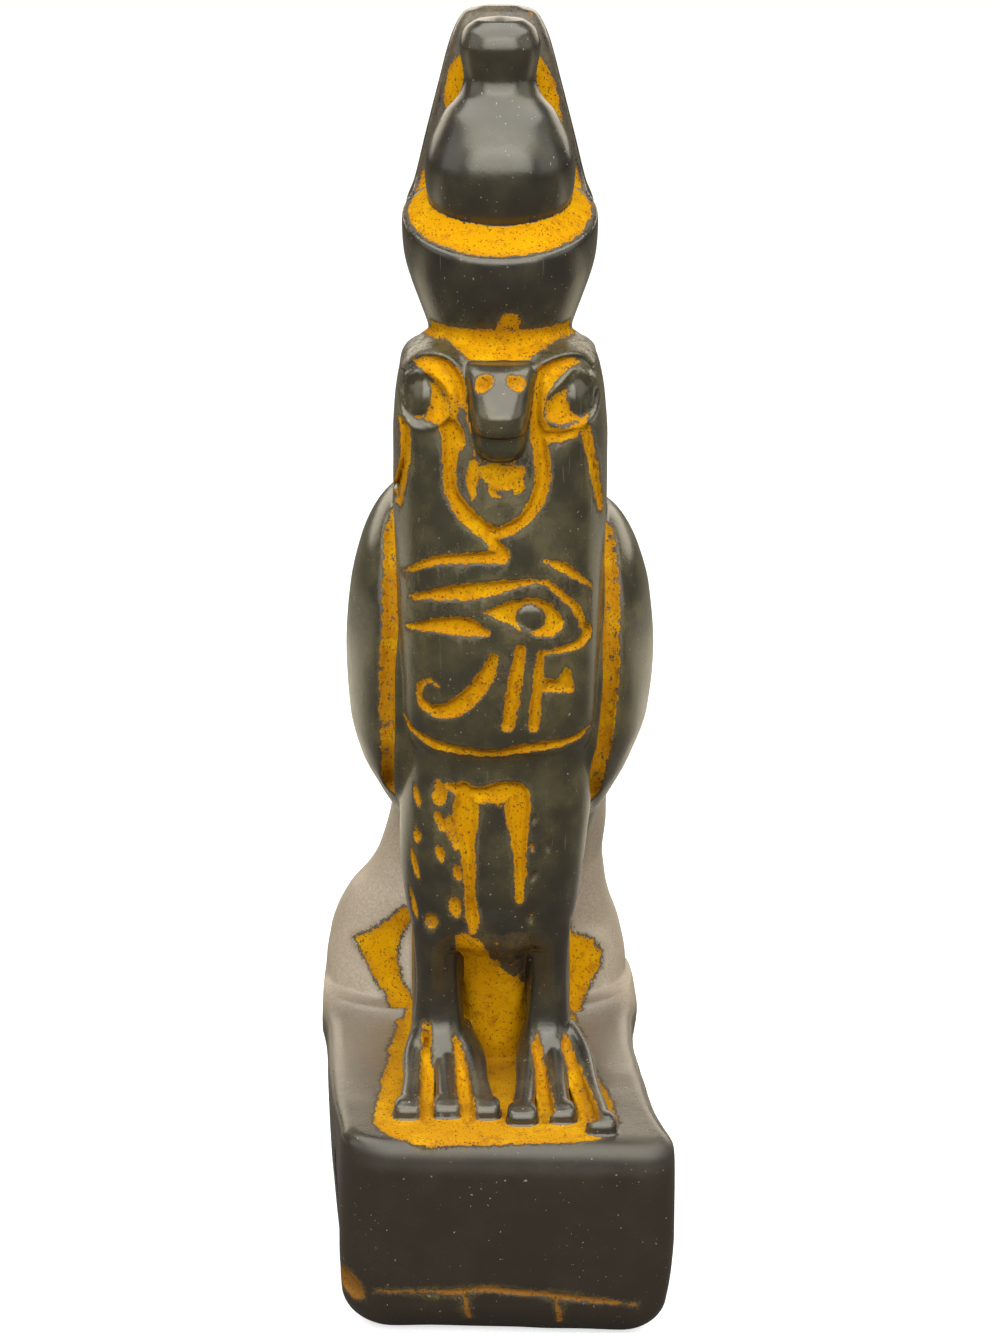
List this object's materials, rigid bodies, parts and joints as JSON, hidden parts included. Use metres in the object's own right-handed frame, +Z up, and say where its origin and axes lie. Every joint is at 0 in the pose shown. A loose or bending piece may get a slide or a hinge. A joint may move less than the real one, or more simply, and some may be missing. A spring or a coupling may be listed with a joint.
{
  "type": "horus falcon figure",
  "caption": "Standing falcon figure with a tall double crown on a block plinth, an Egyptian-style souvenir in dark stone with yellow pigment left in its carving.",
  "frame": {"origin": "middle of the bounding box at the underside of the plinth", "axes": "+Z up, the falcon faces -Y, +X is towards the viewer's right when it is seen from the front"},
  "size_m": [0.0682, 0.1068, 0.24],
  "materials": {
    "dark_stone": "waxed dark stone with a soft gloss and yellow pigment in the recesses"
  },
  "bodies": {
    "root": {"horus_falcon_figure": "dark_stone"}
  },
  "joints": []
}
